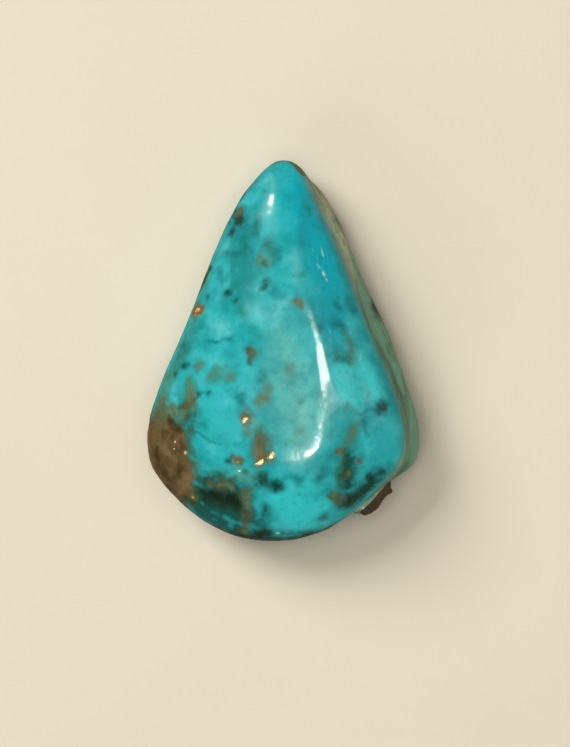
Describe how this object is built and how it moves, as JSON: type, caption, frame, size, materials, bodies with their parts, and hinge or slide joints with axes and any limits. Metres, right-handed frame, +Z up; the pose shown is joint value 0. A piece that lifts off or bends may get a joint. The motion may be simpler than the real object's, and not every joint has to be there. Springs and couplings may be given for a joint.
{
  "type": "polished turquoise nugget",
  "caption": "Drop-shaped polished turquoise stone with a domed crown, a grooved leaning flank, a lump of brown host rock at its foot and a flat underside.",
  "frame": {"origin": "on the flat resting face, under the middle of the stone", "axes": "+Y from the broad end to the tip, +Z up from the resting face through the crown, +X towards the leaning flank"},
  "size_m": [0.0178, 0.025, 0.0075],
  "materials": {
    "turquoise": "polished"
  },
  "bodies": {
    "root": {"turquoise_nugget": "turquoise"}
  },
  "joints": []
}
